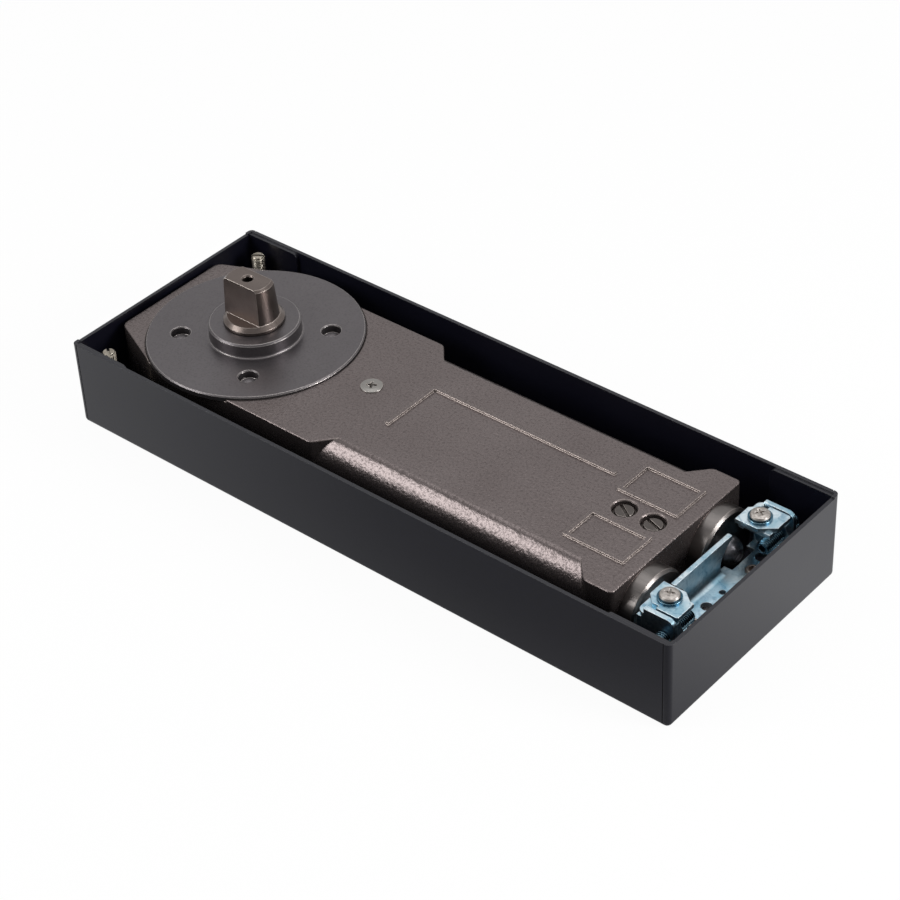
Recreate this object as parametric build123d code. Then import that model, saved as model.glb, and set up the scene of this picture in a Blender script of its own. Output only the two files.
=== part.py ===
from build123d import *
import os
from math import acos, asin, cos, pi, radians, sin, sqrt, tan

# Floor spring in its cement box, millimetres.
# Origin on the spindle's axis at the underside of the box.
# +X runs along the box to the bracket end, +Y to its far long wall, +Z up.
# Front pieces lie on the -Y side and rear pieces on the +Y side.

# Cement box, folded from sheet steel
box_length = 306.0
box_width = 108.0
box_height = 40.0
box_wall = 1.5
box_corner_r = 2.2
box_bend_r = 2.0
spindle_setback = 54.0
tab_length = 28.0
tab_drop = 0.5
end_drop = 0.6
seam_setback = 2.8
seam_width = 0.4
seam_depth = 0.4

# Room that the box leaves round the closer
left_room = 2.0
end_room = 34.0
side_room = 11.6
level_room = 3.0

# Casting of the closer
casting_top = 37.0
casting_bottom = 2.5
foot_r = 6.0
head_end_half = 28.5
head_taper_x = 22.0
head_right = 68.0
step_length = 7.0
waist_half = 32.75
flare_length = 7.5
end_length = 13.0
cast_r = 0.5
frame_bar = 1.7
frame_height = 0.9

# Bores, gear chamber and passages
bore_y = 22.0
bore_z = 19.0
bore_r = 13.8
bulge_r = 19.5
bulge_inset = 0.1
ridge_r = 4.0
ridge_cover = 3.0
bore_start = 47.0
chamber_left = 46.5
chamber_half = 24.0
chamber_bottom = 10.0
chamber_top = 30.0
passage_r = 1.8

# Cover disc and its collar
disc_r = 46.0
disc_thick = 2.4
disc_recess = 1.2
disc_gap = 0.35
collar_r = 19.4
collar_height = 6.4
collar_foot = 0.8
spigot_r = 36.5
spigot_drop = 7.0
boss_r = 20.0
boss_drop = 9.8
seal_pocket_r = 17.0
spanner_pcd = 63.0
spanner_hole_r = 4.0
spanner_hole_depth = 3.6
spanner_point = 1.4
spanner_angle = 38.0
oring_wire = 1.2

# Spindle
journal_r = 12.0
base_r = 12.8
base_height = 1.2
bevel_height = 1.6
blade_height = 16.5
blade_foot_half = 6.3
blade_top_half = 5.3
blade_back_foot_r = 12.2
blade_back_top_r = 11.6
blade_nose_foot_r = 11.0
blade_nose_top_r = 9.7
blade_edge = 1.0
spindle_gap = 0.3
top_hole_r = 2.1
top_hole_depth = 10.0
top_hole_x = -1.5
lower_journal_r = 7.0
lower_bearing_r = 12.0
lower_bearing_height = 5.3
washer_height = 1.0
upper_bearing_height = 5.5
shaft_seal_height = 5.5

# Pinion on the spindle and the racks
module = 1.4
pinion_teeth = 12
profile_shift = 0.35
pressure_angle = 20.0
flank_clearance = 0.08
rack_addendum = 0.95
rack_dedendum = 1.25
rack_teeth = 12
gear_width = 15.0
max_opening = 130.0

# Pistons and springs
piston_clearance = 0.05
piston_start = 68.0
piston_length = 24.0
rack_back = 23.0
piston_seal_setback = 5.0
piston_seal_width = 3.0
piston_seal_depth = 1.8
spring_well_r = 11.9
spring_well_depth = 10.0
ball_r = 2.5
ball_clearance = 0.1
ball_port_r = 1.5
spring_plate_thick = 1.5
spring_r = 9.8
wire_r = 1.6
spring_turns = 9
end_pitch = 4.0
spring_seat_r = 12.5
spring_seat_setback = 20.5
spring_seat_thick = 3.0
seat_gap = 0.1

# End plugs and force adjusters
plug_r = 16.8
plug_flange = 7.0
plug_screw_length = 7.5
plug_fit = 0.05
plug_chamfer = 1.0
adjuster_r = 4.0
adjuster_head_r = 6.0
adjuster_head_height = 6.2
adjuster_hex = 2.5

# Valve screws, filler screw
valve_setbacks = (25.5, 12.0)
valve_y = 0.8
valve_bore_r = 5.0
valve_bore_bottom = 17.0
valve_clearance = 0.08
valve_recess = 1.0
valve_edge = 0.4
valve_neck_r = 3.9
valve_neck = 1.5
valve_slot = 1.4
valve_slot_depth = 1.3
valve_turns = (-32, -18)
needle_r = 1.5
filler_x = 63.0
filler_y = 1.6
filler_r = 3.0
filler_head_r = 4.8
filler_head_rise = 0.7
filler_bottom = 21.0

# Adjusting bracket of zinc-plated sheet
sheet = 2.0
bend_inside = 0.8
shelf_fold = 3.0
web_gap = 9.9
web_half = 18.0
web_top = 31.3
shelf_top = 18.0
shelf_depth = 20.6
ear_room = 13.5
ear_depth = 16.6
ear_top = 35.5
ear_corner_r = 3.5
ear_setback = 3.0
outer_web_width = 14.0
relief_r = 11.3
relief_depth = 5.0
adjuster_room = 1.5
tab_top = 33.5
tab_depth = 14.6
tab_width = 15.0
lug_half = 12.0
lug_setback = 2.0
lug_bottom = 5.0
lug_gap = 0.5

# Clamp plates and their screws
plate_width = 13.5
plate_depth = 16.0
plate_ear_gap = 1.0
plate_chamfer = 6.0
plate_corner = 3.5
clamp_from_web = 7.1
clamp_from_ear = 10.4
clamp_r = 2.0
clamp_washer_r = 4.8
clamp_washer_thick = 0.8
clamp_head_r = 4.0
clamp_head_height = 1.9
clamp_bottom = 30.2

# Side, height and levelling screws
screw_clearance = 0.05
tip_gap = 0.05
screw_r = 3.0
side_from_web = 12.1
side_z = 26.5
side_reach = 5.5
side_inward = 16.0
key_across = 3.0
key_depth = 3.0
nut_across = 10.0
nut_thick = 3.5
height_from_web = 11.1
height_screw_y = 19.0
height_rise = 1.0
level_setback = 8.5
level_top = 35.8
level_slot = 1.2
level_slot_depth = 1.6

# Support strap at the spindle end
strap_thick = 4.0
strap_width = 10.0
strap_end = 3.2
strap_drop = 0.4
strap_screw_y = 14.0
strap_screw_r = 2.5
strap_screw_head_r = 4.4
strap_screw_top = 9.6

# Bracket bolts and the free holes in the shelf
bolt_from_web = 15.1
bolt_y = 5.0
bolt_r = 2.5
bolt_head_r = 4.2
bolt_head_height = 2.4
bolt_end_drop = 0.3
hole_from_web = 9.2
shelf_holes = ((-8.0, 2.3), (2.0, 1.3))
outer_hole_from_ear = 11.5
outer_hole_r = 2.6

box_left = -spindle_setback
box_right = box_length - spindle_setback
half_width = box_width / 2
floor_top = box_wall
box_inner_half = half_width - box_wall

head_left = -box_left - box_wall - left_room
head_half = box_inner_half - side_room
casting_right = box_right - box_wall - end_room
waist_left = head_right + step_length
bulge_y = head_half - bulge_inset - bulge_r
bulge_z = casting_top - sqrt(bulge_r**2 - (waist_half - bulge_y) ** 2)
flare_right = casting_right - end_length
waist_right = flare_right - flare_length
spring_seat_x = casting_right - spring_seat_setback
valve_xs = [casting_right - setback for setback in valve_setbacks]

pitch_r = module * pinion_teeth / 2
base_circle_r = pitch_r * cos(radians(pressure_angle))
tip_r = pitch_r + module * (1 + profile_shift)
root_r = pitch_r - module * (1.25 - profile_shift)
rack_line = pitch_r + profile_shift * module
rack_tip = rack_line - rack_addendum * module
rack_root = rack_line + rack_dedendum * module
tooth_pitch = pi * module
travel = pitch_r * radians(max_opening)
gear_low = bore_z - gear_width / 2
gear_high = bore_z + gear_width / 2

disc_seat = casting_top - disc_recess
disc_top = disc_seat + disc_thick
collar_top = disc_top + collar_height
spindle_base = collar_top + spindle_gap
bevel_z = spindle_base + base_height
ledge_z = bevel_z + bevel_height
blade_top = ledge_z + blade_height
piston_r = bore_r - piston_clearance
piston_end = piston_start + piston_length
spring_start = piston_end - spring_well_depth + spring_plate_thick
plug_face = casting_right + plug_flange

web_x = casting_right + web_gap
web_back = web_x + sheet
shelf_right = web_x + shelf_depth
lug_right = shelf_right - lug_setback
lug_top = shelf_top - sheet
ear_half = box_inner_half - ear_room
ear_inner = ear_half - sheet
ear_right = web_x + ear_depth
plate_outer = ear_inner - plate_ear_gap
plate_inner = plate_outer - plate_width
clamp_x = web_x + clamp_from_web
clamp_y = ear_half - clamp_from_ear
side_x = web_x + side_from_web
side_tip = ear_half + side_reach
side_end = ear_half - side_inward
height_screw_x = web_x + height_from_web
bolt_x = web_x + bolt_from_web
shelf_hole_x = web_x + hole_from_web
level_x = -head_left + level_setback
level_y = box_inner_half - box_wall - level_room - screw_r
strap_half = level_y + strap_end
front_and_rear = (("front", -1), ("rear", 1))


def block(x0, x1, y0, y1, z0, z1):
    size = Box(x1 - x0, y1 - y0, z1 - z0)
    return Pos((x0 + x1) / 2, (y0 + y1) / 2, (z0 + z1) / 2) * size


def upright(r, x, y, z0, z1):
    return Pos(x, y, (z0 + z1) / 2) * Cylinder(r, z1 - z0)


def along_x(r, x0, x1, y, z):
    return Pos((x0 + x1) / 2, y, z) * Rot(0, 90, 0) * Cylinder(r, x1 - x0)


def along_y(r, x, y0, y1, z):
    low, high = min(y0, y1), max(y0, y1)
    return Pos(x, (low + high) / 2, z) * Rot(90, 0, 0) * Cylinder(r, high - low)


def turned(points):
    """A solid of revolution about Z from (radius, height) points."""
    outline = make_face(Plane.XZ * Polyline(*points, close=True))
    return revolve(outline, Axis.Z)


def prism(points, z0, z1):
    outline = make_face(Polyline(*points, close=True))
    return Pos(0, 0, z0) * extrude(outline, z1 - z0)


def hexagon(across, thick):
    return extrude(RegularPolygon(across / 2, 6, major_radius=False), thick)


def mirrored(shape, side):
    """The same piece on the front (-1) or rear (1) side."""
    return shape if side > 0 else mirror(shape, Plane.XZ)


# Cement box
def box_tab(x_end, inward):
    x0, x1 = sorted((x_end, x_end + inward * tab_length))
    y0 = box_inner_half - box_wall
    top = box_height - tab_drop
    tab = block(x0, x1, y0, box_inner_half, floor_top, top)
    free_side = Axis.X if inward > 0 else -Axis.X
    edge = tab.edges().filter_by(Axis.Y).group_by(Axis.Z)[-1].sort_by(free_side)[-1]
    return fillet(edge, box_corner_r)


def cement_box():
    outer = block(box_left, box_right, -half_width, half_width, 0, box_height)
    outer = fillet(outer.edges().filter_by(Axis.Z), box_corner_r)
    outer = fillet(outer.edges().group_by(Axis.Z)[0], box_bend_r)
    inner = block(
        box_left + box_wall, box_right - box_wall, -box_inner_half, box_inner_half, floor_top, box_height + 1
    )
    inner = fillet(inner.edges().filter_by(Axis.Z), box_corner_r - box_wall)
    inner = fillet(inner.edges().group_by(Axis.Z)[0], box_bend_r - box_wall)
    tray = outer - inner
    for side in (-1, 1):
        for x_end, inward in ((box_left + box_wall, 1), (box_right - box_wall, -1)):
            tray += mirrored(box_tab(x_end, inward), side)
    end_y = box_inner_half - box_corner_r
    for x0, x1 in ((box_left - 1, box_left + box_wall), (box_right - box_wall, box_right + 1)):
        tray -= block(x0, x1, -end_y, end_y, box_height - end_drop, box_height + 1)
    for x in (box_left + seam_setback, box_right - seam_setback):
        for side in (-1, 1):
            y0, y1 = sorted((side * (half_width - seam_depth), side * (half_width + 1)))
            tray -= block(x - seam_width / 2, x + seam_width / 2, y0, y1, -1, box_height + 1)
    return tray


# Casting of the closer
def head_and_body():
    """The casting's outline; between its ends it stays under the flat tops of the bulges."""
    cover = ridge_cover / (head_half - waist_half)
    core_half = waist_half - ridge_cover
    half = [
        (-head_left, head_end_half),
        (-head_taper_x, head_half),
        (head_right, head_half),
        (waist_left + cover * step_length, core_half),
        (waist_right - cover * flare_length, core_half),
        (flare_right, head_half),
        (casting_right, head_half),
    ]
    corner_r = [4.0, 16.0, 3.0, 3.0, 7.0, 4.0, 2.0]
    near = [(x, -y) for x, y in reversed(half)]
    path = FilletPolyline(*half, *near, radius=corner_r + corner_r[::-1], close=True)
    body = Pos(0, 0, casting_bottom) * extrude(make_face(path), casting_top - casting_bottom)
    return fillet(body.edges().group_by(Axis.Z)[-1], cast_r)


def bulges():
    """Round sides over the bores, blended into the flat top."""
    low = block(head_right - 2, flare_right, 0, half_width, casting_bottom, casting_top)
    tube = along_x(bulge_r, head_right - 2, flare_right, bulge_y, bulge_z) & low
    ridge = tube.edges().filter_by(Axis.X).group_by(Axis.Z)[-1].sort_by(Axis.Y)[-1]
    tube = fillet(ridge, ridge_r)
    return tube + mirrored(tube, -1)


def raised_frame(x0, x1, y0, y1, bars):
    """Raised borders cast on the top; bars names the sides that stand."""
    z0, z1 = casting_top - 0.2, casting_top + frame_height
    sides = {
        "left": (x0, x0 + frame_bar, y0, y1),
        "right": (x1 - frame_bar, x1, y0, y1),
        "near": (x0, x1, y0, y0 + frame_bar),
        "far": (x0, x1, y1 - frame_bar, y1),
    }
    shape = None
    for bar in bars:
        piece = block(*sides[bar], z0, z1)
        shape = piece if shape is None else shape + piece
    return shape


def closer_body():
    body = head_and_body() + bulges()
    lug = block(casting_right - 1, lug_right, -lug_half, lug_half, lug_bottom, lug_top)
    for side in (-1, 1):
        lug -= along_x(plug_r + lug_gap, casting_right, plug_face + lug_gap, side * bore_y, bore_z)
    body += lug
    middle = (waist_left + waist_right) / 2
    for x, y in ((-28, 18), (-28, -18), (middle, bore_y), (middle, -bore_y)):
        body += upright(foot_r, x, y, floor_top, casting_bottom + 1)
    all_round = ("left", "right", "near", "far")
    body += raised_frame(waist_left + 9, casting_right - 40.5, -14, 16, ("left", "far"))
    x0, x1 = casting_right - 34.5, casting_right - 6.5
    body += raised_frame(x0, x1, 8, 27, all_round)
    body += raised_frame(x0, x1, -25.5, -7.5, all_round)

    # Gear chamber under the cover, and the two bores
    body -= block(-chamber_left, bore_start, -chamber_half, chamber_half, chamber_bottom, chamber_top)
    body -= upright(disc_r + disc_gap, 0, 0, disc_seat, casting_top + 1)
    body -= upright(spigot_r + piston_clearance, 0, 0, casting_top - spigot_drop, casting_top + 1)
    body -= upright(boss_r + 1, 0, 0, casting_top - boss_drop, casting_top)
    body -= upright(lower_bearing_r, 0, 0, casting_bottom + 2, chamber_bottom + 1)
    for side in (-1, 1):
        body -= along_x(bore_r, bore_start - 1, casting_right + 1, side * bore_y, bore_z)

    # Seal groove under the disc's rim
    ring_in = spigot_r + 1
    groove = upright(ring_in + oring_wire * 1.1, 0, 0, disc_seat - oring_wire, disc_seat + 1)
    body -= groove - upright(ring_in - oring_wire * 0.1, 0, 0, disc_seat - oring_wire, disc_seat + 1)

    # Valve bores with their cross passages, and the filler
    for x in valve_xs:
        body -= upright(valve_bore_r, x, valve_y, valve_bore_bottom + 6, casting_top + 1)
        cone = Cone(valve_bore_r, valve_bore_r + valve_edge, valve_edge)
        body -= Pos(x, valve_y, casting_top - valve_edge / 2) * cone
        body -= upright(passage_r, x, valve_y, bore_z - 3, valve_bore_bottom + 7)
        body -= along_y(passage_r, x, -bore_y, bore_y, bore_z)
    body -= upright(filler_r + valve_clearance, filler_x, filler_y, filler_bottom - 1, casting_top + 1)
    sink = filler_head_r - filler_r
    cone_z = casting_top - sink / 2
    body -= Pos(filler_x, filler_y, cone_z) * Cone(filler_r, filler_head_r, sink)
    body -= along_y(passage_r, filler_x, -bore_y, bore_y, bore_z)

    # Groove and screw holes for the support strap
    strap_top = casting_bottom + strap_drop + strap_thick
    strap_x0 = level_x - strap_width / 2
    body -= block(strap_x0 - 0.2, strap_x0 + strap_width + 0.2, -half_width, half_width, 0, strap_top)
    for y in (-strap_screw_y, strap_screw_y):
        body -= upright(strap_screw_r + 0.01, level_x, y, strap_top - 1, strap_screw_top + 0.2)
    for y in (-bolt_y, bolt_y):
        body -= upright(bolt_r + screw_clearance, bolt_x, y, lug_bottom - 1, lug_top + 1)
    return body


# Cover disc with the collar round the spindle
def cover_disc():
    z_spigot = casting_top - spigot_drop
    z_boss = casting_top - boss_drop
    bearing_top = z_boss + 0.3 + upper_bearing_height + shaft_seal_height
    bore = journal_r + piston_clearance
    disc = turned(
        [
            (bore, collar_top - 0.8),
            (bore + 0.8, collar_top),
            (collar_r - 0.7, collar_top),
            (collar_r, collar_top - 0.7),
            (collar_r, disc_top + collar_foot),
            (collar_r + 0.3 * collar_foot, disc_top + 0.3 * collar_foot),
            (collar_r + collar_foot, disc_top),
            (disc_r - 0.5, disc_top),
            (disc_r, disc_top - 0.5),
            (disc_r, disc_seat),
            (spigot_r, disc_seat),
            (spigot_r, z_spigot),
            (boss_r, z_spigot),
            (boss_r, z_boss),
            (seal_pocket_r, z_boss),
            (seal_pocket_r, bearing_top),
            (bore, bearing_top),
        ]
    )
    r = spanner_pcd / 2
    for i in range(4):
        a = radians(spanner_angle + 90 * i)
        x, y = r * cos(a), r * sin(a)
        disc -= upright(spanner_hole_r, x, y, disc_top - spanner_hole_depth, disc_top + 1)
        disc -= Pos(x, y, disc_top) * Cone(spanner_hole_r, spanner_hole_r + 0.8, 0.8)
        point_z = disc_top - spanner_hole_depth - spanner_point / 2
        disc -= Pos(x, y, point_z) * Cone(0.2, spanner_hole_r, spanner_point)
    return disc


def ring(r_in, r_out, z0, z1):
    return upright(r_out, 0, 0, z0, z1) - upright(r_in, 0, 0, z0 - 1, z1 + 1)


def upper_bearing():
    z0 = casting_top - boss_drop + 0.3
    return ring(journal_r + piston_clearance, seal_pocket_r - 0.02, z0, z0 + upper_bearing_height)


def shaft_seal():
    z0 = casting_top - boss_drop + 0.3 + upper_bearing_height
    z1 = z0 + shaft_seal_height
    inner = journal_r + 0.03
    return turned(
        [
            (inner, z1 - 1.8),
            (inner + 1.2, z1 - 0.1),
            (seal_pocket_r - 0.02, z1 - 0.1),
            (seal_pocket_r - 0.02, z0 + 0.1),
            (inner + 1.6, z0 + 0.1),
            (inner + 1.6, z1 - 2.6),
            (inner, z1 - 2.6),
        ]
    )


def cover_seal():
    r = spigot_r + 1
    return ring(r, r + oring_wire, disc_seat - oring_wire, disc_seat)


def lower_bearing():
    z0 = casting_bottom + 2
    return ring(lower_journal_r + piston_clearance, lower_bearing_r - 0.02, z0, z0 + lower_bearing_height)


def thrust_washer():
    z0 = casting_bottom + 2 + lower_bearing_height
    return ring(lower_journal_r + 0.1, lower_bearing_r - 0.6, z0, z0 + washer_height)


# Involute pinion and the rack that it drives
def involute(angle):
    return tan(angle) - angle


def pinion_outline():
    pressure = radians(pressure_angle)
    half_tooth = (pi / 2 + 2 * profile_shift * tan(pressure)) / pinion_teeth
    half_tooth -= flank_clearance / (2 * pitch_r)

    def at(r, tooth, flank):
        spread = half_tooth + involute(pressure)
        if r > base_circle_r:
            spread -= involute(acos(base_circle_r / r))
        a = 2 * pi * tooth / pinion_teeth + flank * spread
        return (r * cos(a), r * sin(a))

    middle_r = (base_circle_r + tip_r) / 2
    lines = []
    for tooth in range(pinion_teeth):
        rising, falling = -1, 1
        lines.append(Line(at(root_r, tooth, rising), at(base_circle_r, tooth, rising)))
        flank = [at(r, tooth, rising) for r in (base_circle_r, middle_r, tip_r)]
        lines.append(ThreePointArc(*flank))
        lines.append(Line(at(tip_r, tooth, rising), at(tip_r, tooth, falling)))
        flank = [at(r, tooth, falling) for r in (tip_r, middle_r, base_circle_r)]
        lines.append(ThreePointArc(*flank))
        lines.append(Line(at(base_circle_r, tooth, falling), at(root_r, tooth, falling)))
        lines.append(Line(at(root_r, tooth, falling), at(root_r, tooth + 1, rising)))
    return make_face(Wire(lines))


def rack_outline():
    """Straight-sided teeth facing the pinion, on the rear side."""
    slope = tan(radians(pressure_angle))
    half_line = tooth_pitch / 4 - flank_clearance / 2
    tip_half = half_line - (rack_line - rack_tip) * slope
    root_half = half_line + (rack_root - rack_line) * slope
    half_length = rack_teeth * tooth_pitch / 2
    points = [(-half_length, rack_root)]
    for i in range(rack_teeth):
        x = (i + 0.5) * tooth_pitch - half_length
        points += [(x - root_half, rack_root), (x - tip_half, rack_tip)]
        points += [(x + tip_half, rack_tip), (x + root_half, rack_root)]
    points += [(half_length, rack_root), (half_length, rack_root + 1), (-half_length, rack_root + 1)]
    return points


def blade_end(foot_r, top_r):
    """Round tapered end of the blade, bevelled at its top."""
    return turned(
        [
            (0, bevel_z),
            (foot_r, bevel_z),
            (top_r, blade_top - blade_edge),
            (top_r - blade_edge, blade_top),
            (0, blade_top),
        ]
    )


def blade():
    """Drive blade with tapered flats, its back end steeper than its nose."""
    back = blade_end(blade_back_foot_r, blade_back_top_r)
    back &= block(-base_r, 0, -base_r, base_r, bevel_z, blade_top)
    nose = blade_end(blade_nose_foot_r, blade_nose_top_r)
    nose &= block(0, base_r, -base_r, base_r, bevel_z, blade_top)
    slab_outline = Plane.YZ * Polyline(
        (-blade_foot_half, bevel_z),
        (blade_foot_half, bevel_z),
        (blade_top_half, blade_top),
        (-blade_top_half, blade_top),
        close=True,
    )
    return (back + nose) & extrude(make_face(slab_outline), base_r, both=True)


def spindle():
    bottom = casting_bottom + 2.2
    shoulder = casting_bottom + 2 + lower_bearing_height + washer_height + 0.05
    bevel_r = base_r - bevel_height
    shaft = turned(
        [
            (0, bottom),
            (lower_journal_r - 0.5, bottom),
            (lower_journal_r, bottom + 0.5),
            (lower_journal_r, shoulder),
            (root_r - 0.05, shoulder),
            (root_r - 0.05, gear_high + 0.2),
            (journal_r, gear_high + 0.2),
            (journal_r, spindle_base),
            (base_r, spindle_base),
            (base_r, bevel_z),
            (bevel_r, ledge_z),
            (0, ledge_z),
        ]
    )
    pinion = Pos(0, 0, shoulder) * extrude(pinion_outline(), gear_high + 0.2 - shoulder)
    shape = shaft + pinion + blade()
    shape -= Pos(top_hole_x, 0, blade_top - 0.3) * Cone(top_hole_r, top_hole_r + 0.6, 0.6)
    return shape - upright(top_hole_r, top_hole_x, 0, blade_top - top_hole_depth, blade_top + 1)


# Rack pistons with what they carry
def piston(side):
    start = piston_start
    head = along_x(piston_r, start, piston_end, bore_y, bore_z)
    head = chamfer(head.edges().filter_by(GeomType.CIRCLE), 0.6)
    rack_left = -rack_teeth * tooth_pitch / 2 - 0.4
    bar = along_x(piston_r, rack_left, start + 1, bore_y, bore_z)
    bar &= block(rack_left, start + 1, rack_root, rack_back, gear_low, gear_high)
    shape = head + bar + prism(rack_outline(), gear_low, gear_high)
    seal_x = start + piston_seal_setback
    groove = along_x(piston_r + 1, seal_x, seal_x + piston_seal_width, bore_y, bore_z)
    shape -= groove - along_x(piston_r - piston_seal_depth, seal_x - 1, seal_x + piston_seal_width + 1, bore_y, bore_z)
    well_x = piston_end - spring_well_depth
    ball_x = well_x - 3 * ball_r
    shape -= along_x(spring_well_r, well_x, piston_end + 1, bore_y, bore_z)
    shape -= along_x(ball_r + ball_clearance, ball_x, well_x + 1, bore_y, bore_z)
    shape -= along_x(ball_port_r, start - 1, ball_x + 1, bore_y, bore_z)
    relief = block(start - 12, start + 1, bore_y - 4, rack_back + 1, bore_z - ball_port_r, bore_z + ball_port_r)
    shape -= relief & block(start - 12, start - 0.01, 0, half_width, 0, casting_top)
    return mirrored(shape, side)


def piston_seal(side):
    x0 = piston_start + piston_seal_setback + 0.05
    x1 = x0 + piston_seal_width - 0.1
    seal = along_x(bore_r - 0.02, x0, x1, bore_y, bore_z)
    seal -= along_x(piston_r - piston_seal_depth + 0.02, x0 - 1, x1 + 1, bore_y, bore_z)
    return mirrored(seal, side)


def check_ball(side):
    edge_x = piston_end - spring_well_depth - 3 * ball_r
    centre_x = edge_x + sqrt(ball_r**2 - ball_port_r**2)
    return mirrored(Pos(centre_x, bore_y, bore_z) * Sphere(ball_r), side)


def spring_plate(side):
    x0 = piston_end - spring_well_depth
    plate = along_x(spring_well_r - 0.1, x0, x0 + spring_plate_thick, bore_y, bore_z)
    plate -= along_x(ball_port_r, x0 - 1, x0 + spring_plate_thick + 1, bore_y, bore_z)
    return mirrored(plate, side)


def spring_route():
    """Points and tangents of the coil, with closer turns at both ends."""
    length = spring_seat_x - spring_start - 2 * (wire_r + seat_gap)
    pitch = (length - 2 * end_pitch) / (spring_turns - 2)
    steps = 2 * spring_turns

    def advance(half_turn):
        turn = half_turn / 2
        if turn <= 1:
            return end_pitch * turn, end_pitch
        if turn >= spring_turns - 1:
            return length - end_pitch * (spring_turns - turn), end_pitch
        return end_pitch + pitch * (turn - 1), pitch

    route = []
    for i in range(steps + 1):
        a = pi * i
        x, rise = advance(i)
        place = Vector(spring_start + wire_r + seat_gap + x, spring_r * cos(a), spring_r * sin(a))
        along = Vector(rise, -2 * pi * spring_r * sin(a), 2 * pi * spring_r * cos(a))
        route.append((place, along.normalized()))
    return route


def biarc(p0, t0, p1, t1):
    """Two tangent arcs from p0 along t0 to p1 along t1."""
    chord = p1 - p0
    both = chord.dot(t0 + t1)
    k = 2 * (1 - t0.dot(t1))
    d = (-both + sqrt(both**2 + k * chord.dot(chord))) / k
    joint = (p0 + t0 * d + p1 - t1 * d) * 0.5
    first = TangentArc(p0, joint, tangent=t0)
    second = TangentArc(joint, p1, tangent=first % 1)
    return [first, second]


def closing_spring(side):
    route = spring_route()
    arcs = []
    for (p0, t0), (p1, t1) in zip(route, route[1:]):
        arcs += biarc(p0, t0, p1, t1)
    path = Wire(arcs)
    coil = sweep(Plane(path @ 0, z_dir=path % 0) * Circle(wire_r), path)
    return mirrored(Pos(0, bore_y, bore_z) * coil, side)


def spring_seat(side):
    x1 = spring_seat_x + spring_seat_thick
    seat = along_x(spring_seat_r, spring_seat_x, x1, bore_y, bore_z)
    seat += along_x(spring_r - wire_r - 0.4, spring_seat_x - 3, x1, bore_y, bore_z)
    return mirrored(chamfer(seat.edges().filter_by(GeomType.CIRCLE).group_by(Axis.X)[0], 0.8), side)


# End plugs and the force adjusters in them
def end_plug(side):
    flange = along_x(plug_r, casting_right, plug_face, bore_y, bore_z)
    flange = chamfer(flange.edges().filter_by(GeomType.CIRCLE).group_by(Axis.X)[-1], plug_chamfer)
    inside = casting_right - plug_screw_length
    plug = flange + along_x(bore_r - plug_fit, inside, casting_right, bore_y, bore_z)
    groove_x = casting_right - 3.2
    groove = along_x(bore_r + 1, groove_x, groove_x + 2, bore_y, bore_z)
    plug -= groove - along_x(bore_r - 1.5, groove_x - 1, groove_x + 3, bore_y, bore_z)
    plug -= along_x(adjuster_r + screw_clearance, inside - 1, plug_face + 1, bore_y, bore_z)
    return mirrored(plug, side)


def plug_seal(side):
    x0 = casting_right - 3.15
    seal = along_x(bore_r - 0.03, x0, x0 + 1.9, bore_y, bore_z)
    seal -= along_x(bore_r - 1.48, x0 - 1, x0 + 3, bore_y, bore_z)
    return mirrored(seal, side)


def force_adjuster(side):
    head_x = plug_face + 0.05
    tip_x = spring_seat_x + spring_seat_thick
    rim = 1.4
    crown = adjuster_head_height - rim
    crown_r = (adjuster_head_r**2 + crown**2) / (2 * crown)
    dome = Pos(head_x + adjuster_head_height - crown_r, 0, 0) * Sphere(crown_r)
    head = along_x(adjuster_head_r, head_x, head_x + adjuster_head_height, 0, 0) & dome
    shank = along_x(adjuster_r, tip_x, head_x + 1, 0, 0)
    shape = head + chamfer(shank.edges().filter_by(GeomType.CIRCLE).group_by(Axis.X)[0], 0.6)
    socket = Rot(0, 90, 0) * hexagon(2 * adjuster_hex, 3)
    shape -= Pos(head_x + adjuster_head_height - 2, 0, 0) * socket
    return mirrored(Pos(0, bore_y, bore_z) * shape, side)


# Valve screws and the filler screw
def valve_screw(x, turn):
    top = casting_top - valve_recess
    head_r = valve_bore_r - valve_clearance
    body_bottom = valve_bore_bottom + 6.1
    waist = head_r - 1.3
    shape = turned(
        [
            (0, bore_z - 1),
            (0.4, bore_z - 1),
            (needle_r, bore_z + 2.5),
            (needle_r, body_bottom),
            (head_r, body_bottom),
            (head_r, body_bottom + 2),
            (waist, body_bottom + 2),
            (waist, body_bottom + 4),
            (head_r, body_bottom + 4),
            (head_r, top - valve_neck),
            (valve_neck_r, top - valve_neck),
            (valve_neck_r, top - 0.3),
            (valve_neck_r - 0.3, top),
            (0, top),
        ]
    )
    slot = block(-valve_bore_r, valve_bore_r, -valve_slot / 2, valve_slot / 2, top - valve_slot_depth, top + 1)
    return Pos(x, valve_y, 0) * (shape - Rot(0, 0, turn) * slot)


def valve_seal(x):
    z0 = valve_bore_bottom + 6.1 + 2.05
    return Pos(x, valve_y, 0) * ring(valve_bore_r - 1.35, valve_bore_r - 0.03, z0, z0 + 1.9)


def cross_recess(size, z_top, depth):
    """A cruciform driver recess, narrower towards its floor."""
    bar = Pos(0, 0, z_top - depth / 2) * Box(size, size * 0.24, depth)
    taper = Pos(0, 0, z_top - depth / 2) * Cone(0.15 * size, size / 2, depth)
    return (bar + Rot(0, 0, 90) * bar) & taper


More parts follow.
